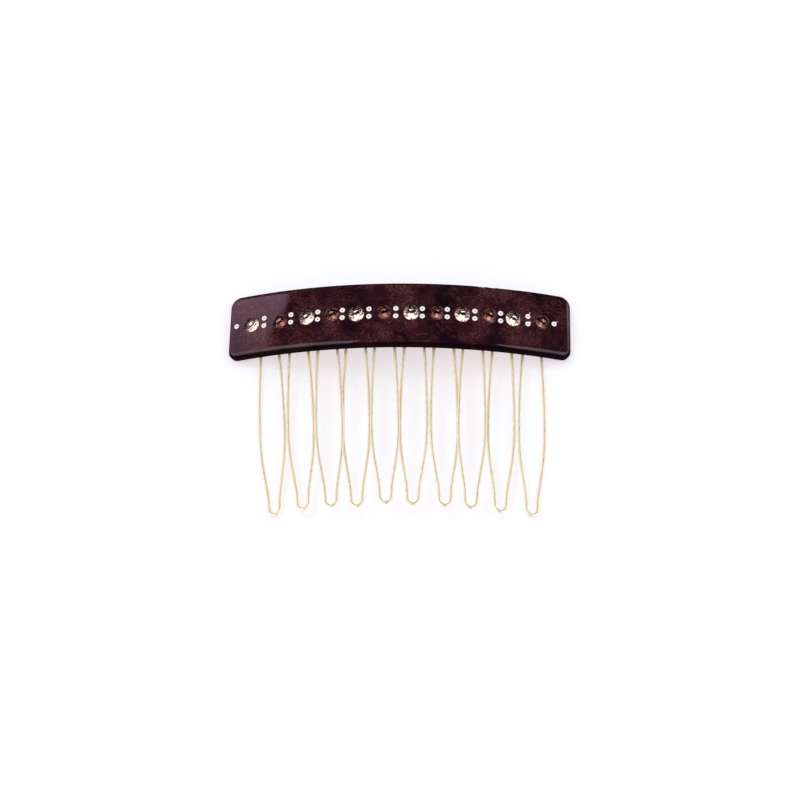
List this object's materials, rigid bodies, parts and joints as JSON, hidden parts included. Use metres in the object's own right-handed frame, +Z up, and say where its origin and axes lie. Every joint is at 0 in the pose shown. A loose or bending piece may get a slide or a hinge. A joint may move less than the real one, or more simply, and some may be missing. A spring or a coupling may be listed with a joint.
{
  "type": "hair comb",
  "caption": "Curved acetate hair comb with a row of pale and brown cut stones between metal pins, and sprung wire loop teeth held in a folded brass spine.",
  "frame": {"origin": "middle of the comb's outline on the surface it lies on, decorated face up", "axes": "+X along the plate to the right, +Y from the tooth tips to the plate's top edge, +Z up out of the decorated face"},
  "size_m": [0.085, 0.0586, 0.0108],
  "materials": {
    "acetate": "polished dark plum-brown cellulose acetate with pearl swirls",
    "pale_crystal": "foiled champagne cut crystal",
    "brown_crystal": "foiled smoked topaz cut crystal",
    "pin_metal": "polished flush white metal",
    "tooth_wire": "bright pale gold plating",
    "spine_brass": "gold-plated folded sheet",
    "rivet_brass": "gold-plated domed head"
  },
  "bodies": {
    "root": {"brown_stone_02": "brown_crystal", "brown_stone_04": "brown_crystal", "brown_stone_06": "brown_crystal", "brown_stone_08": "brown_crystal", "brown_stone_10": "brown_crystal", "brown_stone_12": "brown_crystal", "front_plate": "acetate", "pale_stone_01": "pale_crystal", "pale_stone_03": "pale_crystal", "pale_stone_05": "pale_crystal", "pale_stone_07": "pale_crystal", "pale_stone_09": "pale_crystal", "pale_stone_11": "pale_crystal", "pin_left_end": "pin_metal", "pin_lower_01": "pin_metal", "pin_lower_02": "pin_metal", "pin_lower_03": "pin_metal", "pin_lower_04": "pin_metal", "pin_lower_05": "pin_metal", "pin_lower_06": "pin_metal", "pin_lower_07": "pin_metal", "pin_lower_08": "pin_metal", "pin_lower_09": "pin_metal", "pin_lower_10": "pin_metal", "pin_lower_11": "pin_metal", "pin_right_end": "pin_metal", "pin_upper_01": "pin_metal", "pin_upper_02": "pin_metal", "pin_upper_03": "pin_metal", "pin_upper_04": "pin_metal", "pin_upper_05": "pin_metal", "pin_upper_06": "pin_metal", "pin_upper_07": "pin_metal", "pin_upper_08": "pin_metal", "pin_upper_09": "pin_metal", "pin_upper_10": "pin_metal", "pin_upper_11": "pin_metal", "rivet_left": "rivet_brass", "rivet_middle": "rivet_brass", "rivet_right": "rivet_brass", "spine": "spine_brass", "tooth_01": "tooth_wire", "tooth_02": "tooth_wire", "tooth_03": "tooth_wire", "tooth_04": "tooth_wire", "tooth_05": "tooth_wire", "tooth_06": "tooth_wire", "tooth_07": "tooth_wire", "tooth_08": "tooth_wire", "tooth_09": "tooth_wire", "tooth_10": "tooth_wire"}
  },
  "joints": []
}
